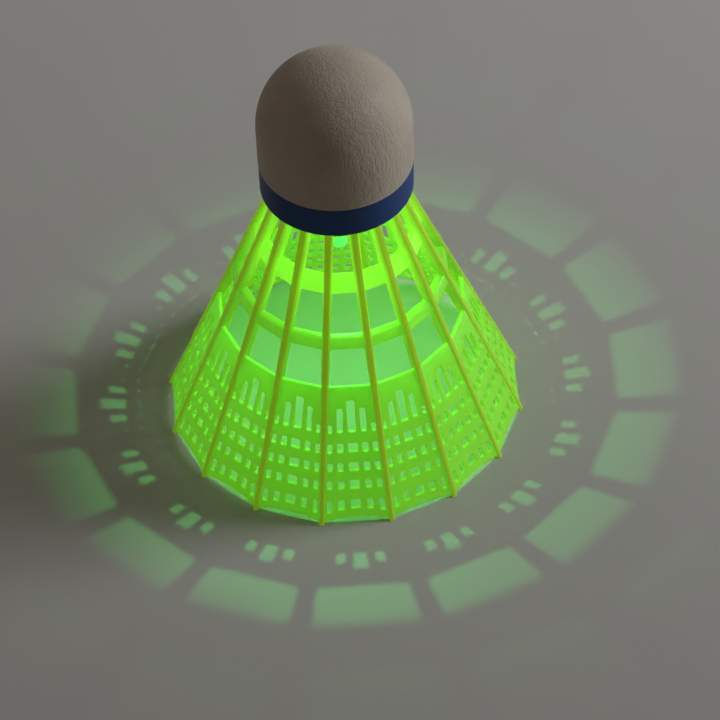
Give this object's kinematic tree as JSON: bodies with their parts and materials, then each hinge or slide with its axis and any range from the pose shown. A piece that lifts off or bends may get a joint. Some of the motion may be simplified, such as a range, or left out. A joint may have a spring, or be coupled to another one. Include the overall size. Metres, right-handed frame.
{
  "type": "light-up badminton shuttlecock",
  "caption": "Nylon badminton shuttlecock with a ribbed, perforated flared skirt, a covered domed head and a removable light module.",
  "frame": {"origin": "centre of the circle that the rib feet stand on, at the open end of the skirt", "axes": "+Z along the shuttlecock's axis, from the open end of the skirt to the nose; the LED sits towards -Y of the axis and the push button towards +Y"},
  "size_m": [0.0632, 0.0632, 0.0803],
  "materials": {
    "nylon": "translucent fluorescent yellow-green nylon moulding, fine satin surface",
    "head_cover": "thin soft cover, cream-tan, very fine creases",
    "cork": "pressed natural cork",
    "band_tape": "dark blue adhesive tape, satin",
    "module_plastic": "white injection-moulded plastic",
    "board": "solder-masked circuit board",
    "cell_steel": "nickel-plated steel",
    "sleeve_film": "thin yellow insulating film",
    "contact_metal": "tinned spring brass",
    "led_die": "lit semiconductor chip",
    "led_epoxy": "clear green-tinted epoxy",
    "resistor_body": "black chip body with tinned ends",
    "switch_plastic": "black moulded plastic",
    "button_plastic": "white push button"
  },
  "bodies": {
    "shuttle": {"skirt_frame": "nylon", "skirt_vane": "nylon", "head_cover": "head_cover", "cork_core": "cork", "blue_band": "band_tape", "module_case": "module_plastic", "button_cell_1": "cell_steel", "button_cell_2": "cell_steel", "button_cell_3": "cell_steel", "cell_sleeve": "sleeve_film", "contact_strip": "contact_metal"},
    "light_cap": {"module_cap": "module_plastic", "circuit_board": "board", "battery_leaf": "contact_metal", "led_lens": "led_epoxy", "led_lead_frame": "contact_metal", "led_chip": "led_die", "resistor": "resistor_body", "switch_body": "switch_plastic", "switch_dome": "contact_metal"},
    "button": {"switch_button": "button_plastic"}
  },
  "joints": [
    {"name": "cap_pull", "type": "slide", "parent": "shuttle", "child": "light_cap", "axis": [0, 0, -1], "range_m": [0, 0.012]},
    {"name": "button_press", "type": "slide", "parent": "light_cap", "child": "button", "axis": [0, 0, 1], "range_m": [0, 0.0005], "stiffness_N_per_m": 400, "springref_m": -0.0005, "deforming": ["switch_dome"]}
  ]
}
